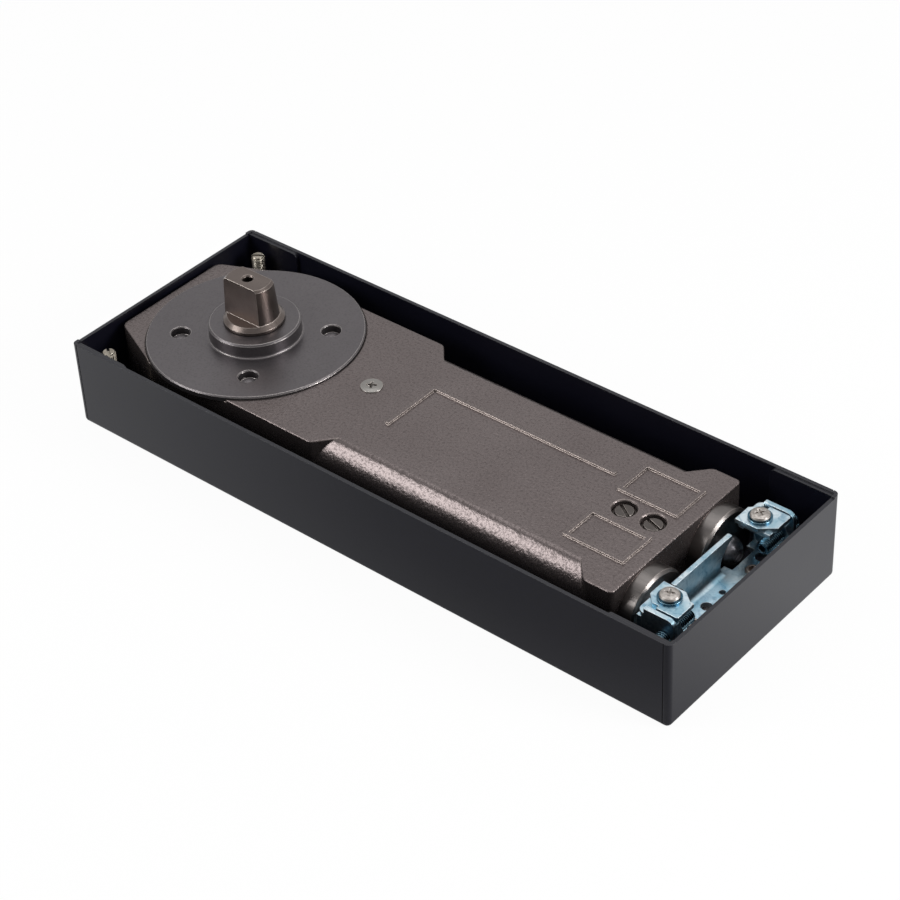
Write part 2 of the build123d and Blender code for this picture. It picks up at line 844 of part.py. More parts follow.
def filler_screw():
    top = casting_top + filler_head_rise
    sink = filler_head_r - filler_r
    head_z = casting_top - sink + 0.1
    screw = turned(
        [
            (0, filler_bottom + 6),
            (filler_r - 0.6, filler_bottom + 6),
            (filler_r, filler_bottom + 6.6),
            (filler_r, head_z),
            (filler_head_r - 0.05, casting_top + 0.02),
            (filler_head_r - 0.2, casting_top + 0.35),
            (filler_head_r * 0.6, top - 0.08),
            (0, top),
        ]
    )
    return Pos(filler_x, filler_y, 0) * Rot(0, 0, 30) * (screw - cross_recess(4.6, top, 2.2))


# Adjusting bracket
def bracket_end():
    """Ear, short outer web and clamp tab on the rear side."""
    corner = prism(
        [
            (web_x, ear_half - outer_web_width),
            (web_back, ear_half - outer_web_width),
            (web_back, ear_inner),
            (ear_right, ear_inner),
            (ear_right, ear_half),
            (web_x, ear_half),
        ],
        lug_top,
        ear_top,
    )
    upright_edges = corner.edges().filter_by(Axis.Z)
    outer_edge = upright_edges.group_by(Axis.X)[0].sort_by(Axis.Y)[-1]
    inner_edge = upright_edges.group_by(Axis.X)[1].sort_by(Axis.Y)[-1]
    corner = fillet(outer_edge, sheet + bend_inside)
    corner = fillet(corner.edges().filter_by(Axis.Z).sort_by_distance(inner_edge.center())[0], bend_inside)
    ear_edge = corner.edges().filter_by(Axis.Y).group_by(Axis.X)[-1].sort_by(Axis.Z)[-1]
    corner = fillet(ear_edge, ear_corner_r)
    corner -= block(web_x - 1, web_x + ear_setback, 0, half_width, tab_top, ear_top + 1)
    corner -= along_y(screw_r + screw_clearance, side_x, ear_inner - 1, ear_half + 1, side_z)
    tab_inner = ear_half - tab_width
    tab = block(web_x + 0.5, web_x + tab_depth, tab_inner, ear_inner - 1.2, tab_top - sheet, tab_top)
    tab -= upright(clamp_r + 0.01, clamp_x, clamp_y, 0, box_height)
    return corner + tab


def folded_shelf():
    """Shelf with the web bent up from it, cut away between its middle and its ends."""
    shelf = block(web_x, shelf_right, -ear_half, ear_half, lug_top, shelf_top)
    body = shelf + block(web_x, web_back, -ear_half, ear_half, lug_top, web_top)
    lengthwise = body.edges().filter_by(Axis.Y)
    inner_edge = lengthwise.filter_by_position(Axis.X, web_back - 0.1, web_back + 0.1).sort_by(Axis.Z)[0]
    body = fillet(inner_edge, shelf_fold)
    for side in (-1, 1):
        y0, y1 = sorted((side * web_half, side * (ear_half - outer_web_width)))
        body -= block(web_x - 1, shelf_right, y0, y1, shelf_top, web_top + 1)
    return body


def adjuster_bracket():
    rear_end = bracket_end()
    body = folded_shelf() + rear_end + mirrored(rear_end, -1)
    fold_r = sheet + shelf_fold
    fold_x, fold_z = web_x + fold_r, lug_top + fold_r
    outside = block(web_x - 1, fold_x, -half_width, half_width, lug_top - 1, fold_z)
    body -= outside - along_y(fold_r, fold_x, -half_width, half_width, fold_z)
    outer_hole_y = ear_half - outer_hole_from_ear
    over_shelf = block(web_x - 1, shelf_right, -half_width, half_width, shelf_top, web_top + 1)
    for side in (-1, 1):
        relief_x = web_x + relief_depth
        body -= along_x(relief_r, web_x - 1, relief_x, side * bore_y, bore_z) & over_shelf
        head_room_x = plug_face + adjuster_head_height + adjuster_room
        body -= along_x(adjuster_head_r + adjuster_room, web_x - 1, head_room_x, side * bore_y, bore_z)
        body -= upright(outer_hole_r, shelf_hole_x, side * outer_hole_y, 0, shelf_top + 1)
        body -= upright(screw_r + screw_clearance, height_screw_x, side * height_screw_y, 0, shelf_top + 1)
        body -= upright(bolt_r + screw_clearance, bolt_x, side * bolt_y, 0, shelf_top + 1)
    for y, r in shelf_holes:
        body -= upright(r, shelf_hole_x, y, 0, shelf_top + 1)
    return body


def clamp_plate(side):
    plate_right = web_x + plate_depth
    outline = [
        (web_x, plate_inner),
        (plate_right - plate_chamfer, plate_inner),
        (plate_right, plate_inner + 0.8 * plate_chamfer),
        (plate_right, plate_outer),
        (web_x + 6.5, plate_outer),
        (web_x + 6.5, plate_outer - 1.6),
        (web_x + plate_corner, plate_outer - 1.6),
        (web_x, plate_outer - 1.6 - plate_corner),
    ]
    plate = prism(outline, tab_top, tab_top + sheet)
    plate = fillet(plate.edges().filter_by(Axis.Z).group_by(Axis.X)[-1], 0.8)
    plate -= upright(clamp_r + 0.3, clamp_x, clamp_y, 0, box_height)
    return mirrored(plate, side)


def clamp_washers():
    z0 = tab_top + sheet
    washer = ring(clamp_r + 0.3, clamp_washer_r, z0, z0 + clamp_washer_thick)
    return [Pos(clamp_x, side * clamp_y, 0) * washer for _, side in front_and_rear]


def pan_screw(r, head_r, head_height, seat_z, tip_z, recess):
    top = seat_z + head_height
    screw = turned(
        [
            (0, tip_z),
            (r - 0.5, tip_z),
            (r, tip_z + 0.5),
            (r, seat_z),
            (head_r - 0.2, seat_z),
            (head_r, seat_z + 0.3),
            (head_r, seat_z + 0.4 * head_height),
            (head_r * 0.9, seat_z + 0.75 * head_height),
            (head_r * 0.6, top - 0.05 * head_height),
            (0, top),
        ]
    )
    return screw - cross_recess(recess, top, 0.75 * head_height)


def clamp_screws():
    seat_z = tab_top + sheet + clamp_washer_thick
    screw = pan_screw(clamp_r, clamp_head_r, clamp_head_height, seat_z, clamp_bottom, 4.4)
    turns = (25, 55)
    return [
        Pos(clamp_x, side * clamp_y, 0) * Rot(0, 0, turn) * screw
        for (_, side), turn in zip(front_and_rear, turns)
    ]


def socket_screw(length):
    """Headless screw from the origin up to its length, with a hexagon socket in its top."""
    screw = upright(screw_r, 0, 0, 0, length)
    screw = chamfer(screw.edges().filter_by(GeomType.CIRCLE), 0.7)
    return screw - Pos(0, 0, length - key_depth) * hexagon(key_across, key_depth + 1)


def side_screw(side):
    screw = Pos(side_x, side_tip, side_z) * Rot(90, 0, 0) * socket_screw(side_tip - side_end)
    return mirrored(screw, side)


def side_nuts():
    nut = hexagon(nut_across, nut_thick)
    nut -= Cylinder(screw_r + screw_clearance, 4 * nut_thick)
    y0 = ear_inner - nut_thick
    rear = Pos(side_x, y0, side_z) * Rot(-90, 0, 0) * nut
    return [mirrored(rear, side) for _, side in front_and_rear]


def height_screw(side):
    foot = floor_top + tip_gap
    return Pos(height_screw_x, side * height_screw_y, foot) * socket_screw(shelf_top + height_rise - foot)


def level_screw(side):
    screw = upright(screw_r, 0, 0, floor_top + tip_gap, level_top)
    screw = chamfer(screw.edges().filter_by(GeomType.CIRCLE), 0.7)
    slot = block(-screw_r - 1, screw_r + 1, -level_slot / 2, level_slot / 2, level_top - level_slot_depth, box_height)
    return Pos(level_x, side * level_y, 0) * (screw - Rot(0, 0, 35 * side) * slot)


def support_strap():
    z0 = casting_bottom + strap_drop
    x0 = level_x - strap_width / 2
    strap = block(x0, x0 + strap_width, -strap_half, strap_half, z0, z0 + strap_thick)
    strap = fillet(strap.edges().filter_by(Axis.Z), 2)
    for _, side in front_and_rear:
        strap -= upright(screw_r + screw_clearance, level_x, side * level_y, 0, casting_top)
        y = side * strap_screw_y
        strap -= upright(strap_screw_r + 0.2, level_x, y, 0, casting_top)
        sink = strap_screw_head_r - strap_screw_r + 0.2
        strap -= Pos(level_x, y, z0 + sink / 2) * Cone(strap_screw_head_r + 0.2, strap_screw_r, sink)
    return strap


def strap_screws():
    z0 = casting_bottom + strap_drop
    sink = strap_screw_head_r - strap_screw_r
    screw = turned(
        [
            (0, z0 + 0.1),
            (strap_screw_head_r, z0 + 0.1),
            (strap_screw_r, z0 + 0.1 + sink),
            (strap_screw_r, strap_screw_top),
            (0, strap_screw_top),
        ]
    )
    recess = Pos(0, 0, 2 * z0 + 0.2) * mirror(cross_recess(4, z0 + 0.1, 1.5), Plane.XY)
    return [Pos(level_x, side * strap_screw_y, 0) * (screw - recess) for _, side in front_and_rear]


def bracket_bolts():
    """Bolts from beneath, screwed into the shelf."""
    low = lug_bottom - bolt_head_height
    bolt = upright(bolt_r, 0, 0, low + 1, shelf_top - bolt_end_drop)
    head = upright(bolt_head_r, 0, 0, low, lug_bottom)
    head = chamfer(head.edges().filter_by(GeomType.CIRCLE).group_by(Axis.Z)[0], 0.4)
    bolt = bolt + head - Pos(0, 0, low) * hexagon(key_across, 1.4)
    return [Pos(bolt_x, side * bolt_y, 0) * bolt for _, side in front_and_rear]


def collect():
    pieces = {
        "cement_box": cement_box(),
        "closer_body": closer_body(),
        "cover_disc": cover_disc(),
        "cover_seal": cover_seal(),
        "upper_bearing": upper_bearing(),
        "lower_bearing": lower_bearing(),
        "thrust_washer": thrust_washer(),
        "shaft_seal": shaft_seal(),
        "spindle": spindle(),
        "filler_screw": filler_screw(),
        "adjuster_bracket": adjuster_bracket(),
        "clamp_washers": clamp_washers(),
        "clamp_screws": clamp_screws(),
        "side_nuts": side_nuts(),
        "bracket_bolts": bracket_bolts(),
        "support_strap": support_strap(),
        "strap_screws": strap_screws(),
    }
    for name, side in front_and_rear:
        pieces["piston_" + name] = piston(side)
        pieces["piston_seal_" + name] = piston_seal(side)
        pieces["check_ball_" + name] = check_ball(side)
        pieces["spring_plate_" + name] = spring_plate(side)
        pieces["closing_spring_" + name] = closing_spring(side)
        pieces["spring_seat_" + name] = spring_seat(side)
        pieces["end_plug_" + name] = end_plug(side)
        pieces["plug_seal_" + name] = plug_seal(side)
        pieces["force_adjuster_" + name] = force_adjuster(side)
        pieces["clamp_plate_" + name] = clamp_plate(side)
        pieces["side_screw_" + name] = side_screw(side)
        pieces["height_screw_" + name] = height_screw(side)
        pieces["level_screw_" + name] = level_screw(side)
    for name, x, turn in zip(("speed", "latch"), valve_xs, valve_turns):
        pieces[name + "_valve"] = valve_screw(x, turn)
        pieces[name + "_valve_seal"] = valve_seal(x)
    return pieces


os.makedirs("parts", exist_ok=True)
for node, shape in collect().items():
    if isinstance(shape, list):
        shape = Compound(children=shape)
    export_step(shape, f"parts/{node}.step")
turn_gap = end_pitch - 2 * wire_r
print("least gap between the turns of a closing spring, mm:", round(turn_gap, 2))
print("piston travel each way, mm:", round(travel, 2))
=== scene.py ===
from math import cos, pi, radians, sin

import bmesh
import bpy
from mathutils import Matrix, Vector


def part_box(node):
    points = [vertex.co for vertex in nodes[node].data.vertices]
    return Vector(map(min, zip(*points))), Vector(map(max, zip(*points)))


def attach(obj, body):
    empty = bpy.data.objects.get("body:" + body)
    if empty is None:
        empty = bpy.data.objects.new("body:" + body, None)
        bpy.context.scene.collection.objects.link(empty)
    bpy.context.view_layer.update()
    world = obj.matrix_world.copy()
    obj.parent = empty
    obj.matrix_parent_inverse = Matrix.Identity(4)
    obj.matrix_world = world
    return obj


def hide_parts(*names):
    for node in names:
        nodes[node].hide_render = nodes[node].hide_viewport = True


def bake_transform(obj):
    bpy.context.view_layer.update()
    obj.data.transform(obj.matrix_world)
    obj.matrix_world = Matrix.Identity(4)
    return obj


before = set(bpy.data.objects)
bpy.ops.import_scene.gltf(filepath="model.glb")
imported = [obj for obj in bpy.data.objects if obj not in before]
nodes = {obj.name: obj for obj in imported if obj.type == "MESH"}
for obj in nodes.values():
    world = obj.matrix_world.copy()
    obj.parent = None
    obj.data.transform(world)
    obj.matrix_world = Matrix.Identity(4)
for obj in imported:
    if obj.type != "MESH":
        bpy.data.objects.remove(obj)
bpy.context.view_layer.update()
mm = 0.001
inColor = {"data_type": "RGBA"}  # setting with which a Mix node mixes colours
print("stage: frame loaded,", len(nodes), "nodes")


def linear(hexText):
    parts = [int(hexText[i : i + 2], 16) / 255 for i in (1, 3, 5)]
    curved = (p / 12.92 if p <= 0.04045 else ((p + 0.055) / 1.055) ** 2.4 for p in parts)
    return tuple(curved) + (1.0,)


# Adds one shader node: a socket is linked, a hex colour or a number is set
def addNode(tree, kind, settings=None, inputs=None):
    node = tree.nodes.new("ShaderNode" + kind)
    for name, value in (settings or {}).items():
        setattr(node, name, value)
    for name, value in (inputs or {}).items():
        if isinstance(value, bpy.types.NodeSocket):
            tree.links.new(value, node.inputs[name])
        elif isinstance(value, str):
            node.inputs[name].default_value = linear(value)
        else:
            node.inputs[name].default_value = value
    return node


# Texture scale for a pattern whose lumps are this many millimetres across
def perLump(size):
    return 1 / (size * mm)


def startMaterial(name):
    material = bpy.data.materials.new(name)
    material.use_nodes = True
    tree = material.node_tree
    tree.nodes.clear()
    place = addNode(tree, "TexCoord").outputs["Object"]
    return material, tree, place


def endMaterial(tree, inputs):
    shader = addNode(tree, "BsdfPrincipled", inputs=inputs)
    addNode(tree, "OutputMaterial", inputs={"Surface": shader.outputs["BSDF"]})


# Where an edge gets a painted highlight: there the rounded normal leaves the true one. Gives
# that share and the rounded normal itself, with which the edge catches the light
def paintedEdgeHighlight(tree, width):
    edgeSheen = {"samples": 6, "noSheen": 0.985, "fullSheen": 0.88}  # how far the normals agree
    rounded = addNode(tree, "Bevel", {"samples": edgeSheen["samples"]}, {"Radius": width * mm})
    flat = addNode(tree, "NewGeometry")
    agree = addNode(tree, "VectorMath", {"operation": "DOT_PRODUCT"}, {
        0: rounded.outputs["Normal"],
        1: flat.outputs["True Normal"],
    })
    share = addNode(tree, "MapRange", inputs={
        "Value": agree.outputs["Value"],
        "From Min": edgeSheen["noSheen"],
        "From Max": edgeSheen["fullSheen"],
    })
    return share.outputs["Result"], rounded.outputs["Normal"]


# Folded sheet steel with a satin black powder coat: the fine orange peel softens
# every reflection, and the rims carry a painted highlight as a grey line
def blackPowderCoat():
    coat = {
        "black": "#0a0a15",
        "blackWorn": "#0d0d1a",
        "rim": "#1b1c21",
        "rimWidth": 0.3,
        "peel": 1.1,
        "peelDepth": 0.012,
        "cloud": 45,
        "rough": (0.3, 0.4),
    }
    material, tree, place = startMaterial("blackPowderCoat")
    cloud = addNode(tree, "TexNoise", inputs={
        "Vector": place,
        "Scale": perLump(coat["cloud"]),
        "Detail": 4,
    })
    peel = addNode(tree, "TexNoise", inputs={
        "Vector": place,
        "Scale": perLump(coat["peel"]),
        "Detail": 1,
    })
    tone = addNode(tree, "Mix", inColor, {
        0: cloud.outputs["Fac"],
        6: coat["black"],
        7: coat["blackWorn"],
    })
    rim, rounded = paintedEdgeHighlight(tree, coat["rimWidth"])
    color = addNode(tree, "Mix", inColor, {0: rim, 6: tone.outputs[2], 7: coat["rim"]})
    low, high = coat["rough"]
    rough = addNode(tree, "MapRange", inputs={
        "Value": cloud.outputs["Fac"],
        "To Min": low,
        "To Max": high,
    })
    relief = addNode(tree, "Bump", inputs={
        "Height": peel.outputs["Fac"],
        "Distance": coat["peelDepth"] * mm,
        "Strength": 1,
        "Normal": rounded,
    })
    endMaterial(tree, {
        "Base Color": color.outputs[2],
        "Roughness": rough.outputs["Result"],
        "Normal": relief.outputs["Normal"],
    })
    return material


# Sand-cast iron under a grey metallic lacquer: the sand's grain shows through as lumps
# that break up every highlight, coarser where the mould stood steep, with dull pits
# between them, and along an edge the grain is smoothed and a painted highlight laid on.
# Moulding sand is too fine to show here, so its grain is drawn coarser
def lacqueredCasting(name, look):
    cast = {
        "cloud": 26,
        "sandRough": 0.55,
        "pitRange": (0.52, 0.32),
        "flatToSteep": (0.98, 0.8),
        "rimGrain": 0.4,
    }
    material, tree, place = startMaterial(name)
    cloud = addNode(tree, "TexNoise", inputs={
        "Vector": place,
        "Scale": perLump(cast["cloud"]),
        "Detail": 4,
    })
    sand = addNode(tree, "TexNoise", inputs={
        "Vector": place,
        "Scale": perLump(look["grain"]),
        "Detail": 3,
        "Roughness": cast["sandRough"],
    })
    lumps = addNode(tree, "TexNoise", inputs={
        "Vector": place,
        "Scale": perLump(look["lump"]),
        "Detail": 2,
    })
    tone = addNode(tree, "Mix", inColor, {
        0: cloud.outputs["Fac"],
        6: look["shade"],
        7: look["tone"],
    })
    shallow, deep = cast["pitRange"]
    pit = addNode(tree, "MapRange", inputs={
        "Value": sand.outputs["Fac"],
        "From Min": shallow,
        "From Max": deep,
        "To Max": look["pits"],
    })
    pitted = addNode(tree, "Mix", inColor, {
        0: pit.outputs["Result"],
        6: tone.outputs[2],
        7: look["pit"],
    })
    rim, rounded = paintedEdgeHighlight(tree, look["rimWidth"])
    color = addNode(tree, "Mix", inColor, {0: rim, 6: pitted.outputs[2], 7: look["rim"]})
    low, high = look["rough"]
    rough = addNode(tree, "MapRange", inputs={
        "Value": pit.outputs["Result"],
        "To Min": low,
        "To Max": high,
    })
    normal = addNode(tree, "TexCoord").outputs["Normal"]
    facing = addNode(tree, "SeparateXYZ", inputs={"Vector": normal})
    flatFrom, steepFrom = cast["flatToSteep"]
    steep = addNode(tree, "MapRange", inputs={
        "Value": facing.outputs["Z"],
        "From Min": flatFrom,
        "From Max": steepFrom,
        "To Min": look["flatGrain"],
        "To Max": 1,
    })
    smooth = addNode(tree, "MapRange", inputs={
        "Value": rim,
        "To Min": 1,
        "To Max": cast["rimGrain"],
    })
    grain = addNode(tree, "Math", {"operation": "MULTIPLY"}, {
        0: steep.outputs["Result"],
        1: smooth.outputs["Result"],
    })
    fine = addNode(tree, "Bump", inputs={
        "Height": sand.outputs["Fac"],
        "Distance": look["depth"] * mm,
        "Strength": grain.outputs[0],
        "Normal": rounded,
    })
    relief = addNode(tree, "Bump", inputs={
        "Height": lumps.outputs["Fac"],
        "Distance": look["lumpDepth"] * mm,
        "Strength": grain.outputs[0],
        "Normal": fine.outputs["Normal"],
    })
    endMaterial(tree, {
        "Base Color": color.outputs[2],
        "Metallic": look["metal"],
        "Roughness": rough.outputs["Result"],
        "Normal": relief.outputs["Normal"],
    })
    return material


# Turned or milled steel: the cutter leaves fine lines along one way; edges get a painted
# highlight
def machinedSteel(name, look):
    cutter = {
        "line": 0.8,  # coarser than the cutter's real lines, which are too fine to show
        "lineDepth": 0.01,
        "lineRange": (0.3, 0.7),
        "stain": 6,
    }
    material, tree, place = startMaterial(name)
    drawn = addNode(tree, "Mapping", inputs={"Vector": place, "Scale": look["stretch"]})
    lines = addNode(tree, "TexNoise", inputs={
        "Vector": drawn.outputs["Vector"],
        "Scale": perLump(cutter["line"]),
        "Detail": 3,
    })
    stain = addNode(tree, "TexNoise", inputs={
        "Vector": place,
        "Scale": perLump(cutter["stain"]),
        "Detail": 4,
    })
    tone = addNode(tree, "Mix", inColor, {
        0: stain.outputs["Fac"],
        6: look["shade"],
        7: look["tone"],
    })
    rim, rounded = paintedEdgeHighlight(tree, look["rimWidth"])
    color = addNode(tree, "Mix", inColor, {0: rim, 6: tone.outputs[2], 7: look["rim"]})
    groove, ridge = cutter["lineRange"]
    low, high = look["rough"]
    rough = addNode(tree, "MapRange", inputs={
        "Value": lines.outputs["Fac"],
        "From Min": groove,
        "From Max": ridge,
        "To Min": low,
        "To Max": high,
    })
    relief = addNode(tree, "Bump", inputs={
        "Height": lines.outputs["Fac"],
        "Distance": cutter["lineDepth"] * mm,
        "Strength": 1,
        "Normal": rounded,
    })
    endMaterial(tree, {
        "Base Color": color.outputs[2],
        "Metallic": 1.0,
        "Roughness": rough.outputs["Result"],
        "Normal": relief.outputs["Normal"],
    })
    return material


# Blue-passivated zinc on pressed sheet: a pale blue skin that turns deeper in
# patches, over faint lines from rolling
def blueZinc():
    zinc = {
        "pale": "#dce9ef",
        "mid": "#96bbcc",
        "deep": "#437e9c",
        "rim": "#eef7fb",
        "rimWidth": 0.35,
        "patch": 9,
        "patchRange": (0.35, 0.65),
        "film": 3,
        "filmSwirl": 1.2,
        "filmRange": (0.5, 0.75),
        "filmMost": 0.6,
        "line": 0.9,  # coarser than real rolling lines, which are too fine to show
        "lineDepth": 0.008,
        "lineStretch": (1, 0.05, 1),
        "rough": (0.26, 0.4),
    }
    material, tree, place = startMaterial("blueZinc")
    patch = addNode(tree, "TexNoise", inputs={
        "Vector": place,
        "Scale": perLump(zinc["patch"]),
        "Detail": 4,
    })
    film = addNode(tree, "TexNoise", inputs={
        "Vector": place,
        "Scale": perLump(zinc["film"]),
        "Detail": 3,
        "Distortion": zinc["filmSwirl"],
    })
    rolled = addNode(tree, "Mapping", inputs={"Vector": place, "Scale": zinc["lineStretch"]})
    lines = addNode(tree, "TexNoise", inputs={
        "Vector": rolled.outputs["Vector"],
        "Scale": perLump(zinc["line"]),
        "Detail": 2,
    })
    patchLow, patchHigh = zinc["patchRange"]
    share = addNode(tree, "MapRange", inputs={
        "Value": patch.outputs["Fac"],
        "From Min": patchLow,
        "From Max": patchHigh,
    })
    tone = addNode(tree, "Mix", inColor, {
        0: share.outputs["Result"],
        6: zinc["mid"],
        7: zinc["pale"],
    })
    filmLow, filmHigh = zinc["filmRange"]
    depth = addNode(tree, "MapRange", inputs={
        "Value": film.outputs["Fac"],
        "From Min": filmLow,
        "From Max": filmHigh,
        "To Max": zinc["filmMost"],
    })
    filmed = addNode(tree, "Mix", inColor, {
        0: depth.outputs["Result"],
        6: tone.outputs[2],
        7: zinc["deep"],
    })
    # The rim colour is a painted highlight along the edges
    rim, rounded = paintedEdgeHighlight(tree, zinc["rimWidth"])
    color = addNode(tree, "Mix", inColor, {0: rim, 6: filmed.outputs[2], 7: zinc["rim"]})
    low, high = zinc["rough"]
    rough = addNode(tree, "MapRange", inputs={
        "Value": film.outputs["Fac"],
        "To Min": low,
        "To Max": high,
    })
    relief = addNode(tree, "Bump", inputs={
        "Height": lines.outputs["Fac"],
        "Distance": zinc["lineDepth"] * mm,
        "Strength": 1,
        "Normal": rounded,
    })
    endMaterial(tree, {
        "Base Color": color.outputs[2],
        "Metallic": 1.0,
        "Roughness": rough.outputs["Result"],
        "Normal": relief.outputs["Normal"],
    })
    return material


# Thin plating or blacking on small steel parts: even, with a few dull spots
def platedSteel(name, look):
    plate = {"rimWidth": 0.25, "spotDepth": 0.012, "spotRange": (0.62, 0.38)}
    material, tree, place = startMaterial(name)
    spots = addNode(tree, "TexNoise", inputs={
        "Vector": place,
        "Scale": perLump(look["spot"]),
        "Detail": 4,
    })
    clear, dulled = plate["spotRange"]
    dull = addNode(tree, "MapRange", inputs={
        "Value": spots.outputs["Fac"],
        "From Min": clear,
        "From Max": dulled,
    })
    tone = addNode(tree, "Mix", inColor, {
        0: dull.outputs["Result"],
        6: look["tone"],
        7: look["shade"],
    })
    # The rim colour is a painted highlight along the edges
    rim, rounded = paintedEdgeHighlight(tree, plate["rimWidth"])
    color = addNode(tree, "Mix", inColor, {0: rim, 6: tone.outputs[2], 7: look["rim"]})
    low, high = look["rough"]
    rough = addNode(tree, "MapRange", inputs={
        "Value": dull.outputs["Result"],
        "To Min": low,
        "To Max": high,
    })
    relief = addNode(tree, "Bump", inputs={
        "Height": spots.outputs["Fac"],
        "Distance": plate["spotDepth"] * mm,
        "Strength": 1,
        "Normal": rounded,
    })
    endMaterial(tree, {
        "Base Color": color.outputs[2],
        "Metallic": look["metal"],
        "Roughness": rough.outputs["Result"],
        "Normal": relief.outputs["Normal"],
    })
    return material


# Moulded nitrile rubber: matt black with a faint bloom, no glint at the edges
def nitrileRubber():
    rubber = {
        "black": "#141414",
        "bloom": "#292928",
        "patch": 3,
        "patchDepth": 0.02,
        "rough": 0.74,
    }
    material, tree, place = startMaterial("nitrileRubber")
    bloom = addNode(tree, "TexNoise", inputs={
        "Vector": place,
        "Scale": perLump(rubber["patch"]),
        "Detail": 5,
    })
    color = addNode(tree, "Mix", inColor, {
        0: bloom.outputs["Fac"],
        6: rubber["black"],
        7: rubber["bloom"],
    })
    relief = addNode(tree, "Bump", inputs={
        "Height": bloom.outputs["Fac"],
        "Distance": rubber["patchDepth"] * mm,
        "Strength": 1,
    })
    endMaterial(tree, {
        "Base Color": color.outputs[2],
        "Roughness": rubber["rough"],
        "Normal": relief.outputs["Normal"],
    })
    return material


# In each look below, rim is the colour of a painted edge highlight
housingLook = {
    "tone": "#7b7271",
    "shade": "#6b6261",
    "pit": "#3d3635",
    "pits": 0.5,
    "rim": "#a89d97",
    "rimWidth": 0.7,
    "grain": 1.0,
    "depth": 0.09,
    "lump": 2.1,
    "lumpDepth": 0.18,
    "flatGrain": 0.9,
    "metal": 0.88,
    "rough": (0.27, 0.48),
}
discLook = {
    "tone": "#6b6769",
    "shade": "#605c5e",
    "pit": "#474344",
    "pits": 0.35,
    "rim": "#d3ccc8",
    "rimWidth": 0.5,
    "grain": 0.7,
    "depth": 0.03,
    "lump": 2.2,
    "lumpDepth": 0.04,
    "flatGrain": 0.7,
    "metal": 0.85,
    "rough": (0.32, 0.46),
}
spindleLook = {
    "tone": "#7b716c",
    "shade": "#645b57",
    "rim": "#cfc4bd",
    "rimWidth": 0.3,
    "stretch": (1, 1, 0.06),
    "rough": (0.27, 0.38),
}
plugLook = {
    **spindleLook,
    "tone": "#7f7b79",
    "shade": "#615c5a",
    "rimWidth": 0.4,
    "stretch": (0.06, 1, 1),
}
valveLook = {**spindleLook, "tone": "#67625f", "shade": "#504b49", "rough": (0.3, 0.42)}
brightLook = {**spindleLook, "tone": "#a19e9b", "shade": "#86837f", "rough": (0.26, 0.38)}
bronzeLook = {**spindleLook, "tone": "#b58a52", "shade": "#7d5a30", "rough": (0.36, 0.5)}
wireLook = {
    **spindleLook,
    "tone": "#4e5056",
    "shade": "#2b2c30",
    "rim": "#6a6c72",
    "rough": (0.35, 0.5),
}
pinkLook = {
    "tone": "#c0b4ad",
    "shade": "#94877f",
    "rim": "#fff3ea",
    "spot": 1.6,
    "metal": 1.0,
    "rough": (0.3, 0.44),
}
dullLook = {
    "tone": "#b8b2ad",
    "shade": "#98928d",
    "rim": "#e4dfda",
    "spot": 1.4,
    "metal": 1.0,
    "rough": (0.36, 0.5),
}
paleLook = {
    "tone": "#aba397",
    "shade": "#8f887c",
    "rim": "#e0dacd",
    "spot": 3.0,
    "metal": 1.0,
    "rough": (0.24, 0.36),
}
darkZincLook = {
    "tone": "#4b7186",
    "shade": "#2d4b5b",
    "rim": "#a9cbd9",
    "spot": 1.6,
    "metal": 1.0,
    "rough": (0.2, 0.32),
}
# Blacked steel of the adjuster dome: its mid-grey tone and pale rim are painted light on a
# black part
blackPaintedLitLook = {
    "tone": "#98979c",
    "shade": "#77767b",
    "rim": "#dcdce0",
    "spot": 1.2,
    "metal": 0.9,
    "rough": (0.3, 0.42),
}

coat = blackPowderCoat()
housing = lacqueredCasting("lacqueredCasting", housingLook)
disc = lacqueredCasting("lacqueredDisc", discLook)
spindleSteel = machinedSteel("brownedSteel", spindleLook)
plugSteel = machinedSteel("turnedPlugSteel", plugLook)
valveSteel = machinedSteel("turnedValveSteel", valveLook)
brightSteel = machinedSteel("brightTurnedSteel", brightLook)
bronze = machinedSteel("sinteredBronze", bronzeLook)
wire = machinedSteel("oiledSpringWire", wireLook)
pinkNickel = platedSteel("warmNickelPlate", pinkLook)
dullNickel = platedSteel("dullNickelPlate", dullLook)
paleNickel = platedSteel("yellowedNickelPlate", paleLook)
blackedPaintedLit = platedSteel("blackedSteel", blackPaintedLitLook)
darkZinc = platedSteel("darkZincPlate", darkZincLook)
zinc = blueZinc()
rubber = nitrileRubber()

finishes = {
    "cement_box": coat,
    "closer_body": housing,
    "cover_disc": disc,
    "spindle": spindleSteel,
    "filler_screw": brightSteel,
    "speed_valve": valveSteel,
    "latch_valve": valveSteel,
    "adjuster_bracket": zinc,
    "side_nuts": zinc,
    "support_strap": zinc,
    "bracket_bolts": pinkNickel,
    "clamp_washers": darkZinc,
    "clamp_screws": dullNickel,
    "strap_screws": paleNickel,
    "thrust_washer": brightSteel,
    "upper_bearing": bronze,
    "lower_bearing": bronze,
    "shaft_seal": rubber,
    "cover_seal": rubber,
    "speed_valve_seal": rubber,
    "latch_valve_seal": rubber,
}
pairFinishes = {
    "piston": spindleSteel,
    "piston_seal": rubber,
    "check_ball": brightSteel,
    "spring_plate": brightSteel,
    "closing_spring": wire,
    "spring_seat": brightSteel,
    "end_plug": plugSteel,
    "plug_seal": rubber,
    "force_adjuster": blackedPaintedLit,
    "clamp_plate": zinc,
    "side_screw": darkZinc,
    "height_screw": pinkNickel,
    "level_screw": paleNickel,
}
for stem, material in pairFinishes.items():
    for side in ("front", "rear"):
        finishes[stem + "_" + side] = material
for name, obj in nodes.items():
    if not obj.material_slots:
        obj.data.materials.append(finishes[name])
    for slot in obj.material_slots:
        slot.material = finishes[name]
print("stage: finishes on", len(finishes), "nodes")


